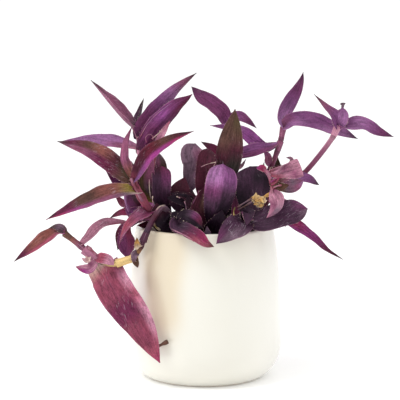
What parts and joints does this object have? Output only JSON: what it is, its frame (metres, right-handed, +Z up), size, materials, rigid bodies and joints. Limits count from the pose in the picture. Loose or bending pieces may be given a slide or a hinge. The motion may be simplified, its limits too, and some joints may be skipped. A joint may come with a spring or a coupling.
{
  "type": "potted trailing houseplant",
  "caption": "Trailing houseplant with long pointed purple leaves on bare jointed stems, growing out of a plain round ceramic pot with a rounded base.",
  "frame": {"origin": "centre of the pot's flat foot, on the surface that it stands on", "axes": "+Z up along the pot's axis; the front of the plant faces -Y, and its trailing stem hangs towards -X"},
  "size_m": [0.313, 0.1795, 0.2554],
  "materials": {
    "cream_glaze": "satin cream glaze",
    "potting_soil": "dark crumbly potting mix",
    "purple_leaf": "waxy purple leaf with a soft bloom",
    "red_leaf": "waxy red-purple leaf with a soft bloom",
    "dry_petal": "withered, matt and papery"
  },
  "bodies": {
    "root": {"pot": "cream_glaze", "soil": "potting_soil", "left_tall_shoot": "purple_leaf", "left_front_shoot": "purple_leaf", "left_inner_shoot": "purple_leaf", "trailing_shoot": "red_leaf", "front_rim_shoot": "red_leaf", "center_front_shoot": "purple_leaf", "center_back_shoot": "purple_leaf", "upper_center_shoot": "purple_leaf", "right_tall_shoot": "purple_leaf", "flowering_shoot": "purple_leaf", "bract_shoot": "red_leaf", "dark_right_shoot": "purple_leaf", "back_left_shoot": "purple_leaf", "back_center_shoot": "purple_leaf", "back_right_shoot": "purple_leaf", "back_trailing_shoot": "red_leaf", "dried_flower": "dry_petal"}
  },
  "joints": []
}
